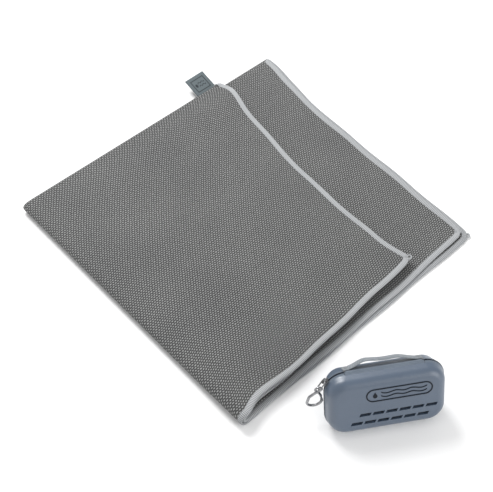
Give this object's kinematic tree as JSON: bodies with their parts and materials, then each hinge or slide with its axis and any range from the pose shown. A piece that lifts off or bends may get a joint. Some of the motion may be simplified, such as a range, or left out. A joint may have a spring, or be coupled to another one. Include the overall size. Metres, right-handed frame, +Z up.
{
  "type": "quick dry towel",
  "caption": "Folded quick-dry towel with overlocked hems and a woven tab, beside its zipped moulded case with vent slots, carrying strap and snap hook.",
  "frame": {"origin": "bottom centre of the whole set's bounding box, on the surface it lies on", "axes": "+Z up; +X along the case's long side; the case's face looks towards -Y; the towel's main fold runs 58.9 degrees clockwise from +X"},
  "size_m": [0.5702, 0.6306, 0.08],
  "materials": {
    "towel_cloth": "ribbed microfibre",
    "hem_thread": "overlock stitching",
    "woven_label": "woven tape",
    "case_skin": "moulded foam with a matt coated skin",
    "case_lining": "brushed knit lining",
    "zip_tape": "woven zip tape",
    "zip_teeth": "nylon coil",
    "strap_webbing": "woven webbing",
    "badge_print": "raised rubber print",
    "gunmetal": "gunmetal plating",
    "spring_steel": "bright spring steel"
  },
  "bodies": {
    "towel_lower": {"towel_lower_half": "towel_cloth", "hem_layer_4": "hem_thread", "hem_layer_3": "hem_thread", "lower_corner_knots": "hem_thread"},
    "towel_upper": {"towel_upper_half": "towel_cloth", "hem_layer_2": "hem_thread", "hem_layer_1": "hem_thread", "upper_corner_knots": "hem_thread", "woven_tab": "woven_label", "tab_stitching": "hem_thread"},
    "case_back": {"back_shell": "case_skin", "back_lining": "case_lining", "back_zip_tape": "zip_tape", "back_zip_teeth": "zip_teeth", "back_hinge_leaf": "zip_tape", "zip_end_stops": "gunmetal", "carrying_strap": "strap_webbing", "strap_stitching": "hem_thread"},
    "case_front": {"front_shell": "case_skin", "front_lining": "case_lining", "front_zip_tape": "zip_tape", "front_zip_teeth": "zip_teeth", "front_hinge_leaf": "zip_tape", "water_badge": "badge_print"},
    "slider": {"zip_slider": "gunmetal"},
    "pull": {"zip_pull": "gunmetal"},
    "hook": {"hook_body": "gunmetal", "gate_pin": "gunmetal", "gate_spring": "spring_steel"},
    "gate": {"hook_gate": "gunmetal"}
  },
  "joints": [
    {"name": "towel_unfold", "type": "hinge", "parent": "towel_lower", "child": "towel_upper", "pos_m": [-0.2856, 0.0928, 0.008], "axis": [0.5165, -0.8563, 0], "range_deg": [0, 179.5]},
    {"name": "case_lift", "type": "slide", "parent": "towel_lower", "child": "case_back", "axis": [0, 0, 1], "range_m": [0, 0.15]},
    {"name": "case_open", "type": "hinge", "parent": "case_back", "child": "case_front", "pos_m": [0.1069, -0.27377, 0.07536], "axis": [-1, 0, 0], "range_deg": [0, 105]},
    {"name": "zip_run", "type": "hinge", "parent": "case_back", "child": "slider", "pos_m": [0.0599, -0.28205, 0.05262], "axis": [0, -0.9397, 0.342], "range_deg": [0, 35]},
    {"name": "pull_flip", "type": "hinge", "parent": "slider", "child": "pull", "pos_m": [0.03754, -0.27669, 0.06734], "axis": [0, 0.9397, -0.342], "range_deg": [0, 35]},
    {"name": "hook_swing", "type": "hinge", "parent": "pull", "child": "hook", "pos_m": [0.03045, -0.28, 0.05824], "axis": [0, 1, 0], "range_deg": [0, 70]},
    {"name": "gate_press", "type": "hinge", "parent": "hook", "child": "gate", "pos_m": [0.03541, -0.28, 0.03302], "axis": [0, -1, 0], "range_deg": [0, 32], "stiffness_Nm_per_rad": 0.02, "springref_deg": -9.74}
  ],
  "couplings": [
    {"joint": "pull_flip", "follows": "zip_run", "ratio": 1}
  ]
}
